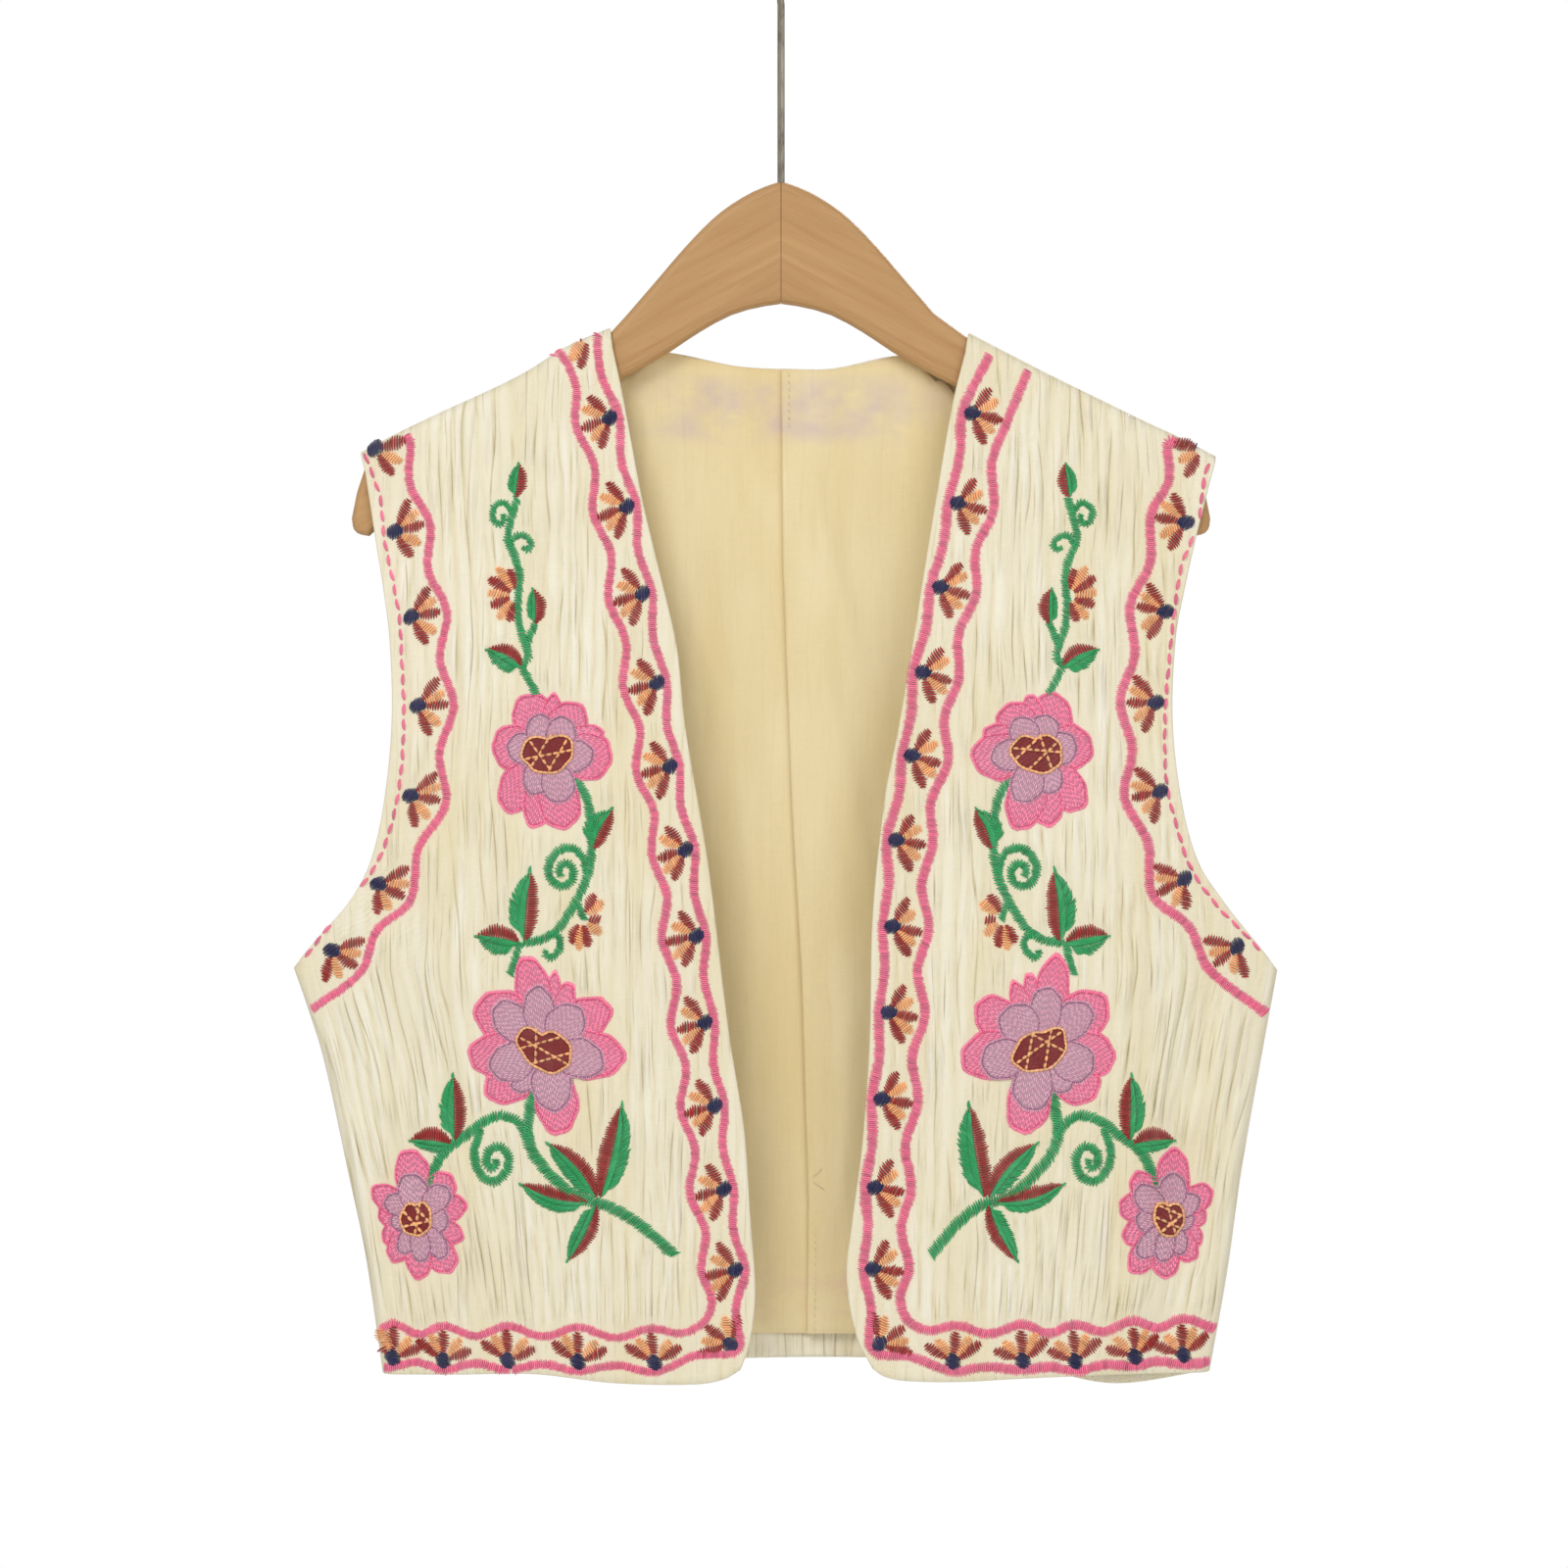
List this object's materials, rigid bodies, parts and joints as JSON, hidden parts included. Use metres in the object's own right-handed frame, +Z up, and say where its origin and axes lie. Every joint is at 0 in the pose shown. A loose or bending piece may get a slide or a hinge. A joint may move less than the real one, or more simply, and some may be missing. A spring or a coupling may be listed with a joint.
{
  "type": "embroidered waistcoat on hanger",
  "caption": "Open-front cropped cotton waistcoat with embroidered borders and sprays, hanging open on a flat wooden hanger with a wire hook.",
  "frame": {"origin": "inner top of the hook's bow, where a rail bears", "axes": "+Z up along the hook's shank, +Y from the fronts to the back, +X to the viewer's right"},
  "size_m": [0.4594, 0.0427, 0.7029],
  "materials": {
    "gauze": "crinkled cream cotton double gauze",
    "lining_cotton": "thin plain yellowish cream cotton",
    "satin_thread": "glossy twisted embroidery floss in several colours",
    "pale_wood": "satin clear lacquer",
    "steel_wire": "plain bright wire"
  },
  "bodies": {
    "root": {"front_left": "gauze", "front_right": "gauze", "back": "gauze", "back_hem_turn_up": "gauze", "lining_left": "lining_cotton", "lining_right": "lining_cotton", "hanger_arm_left": "pale_wood", "hanger_arm_right": "pale_wood", "hook": "steel_wire"}
  },
  "joints": []
}
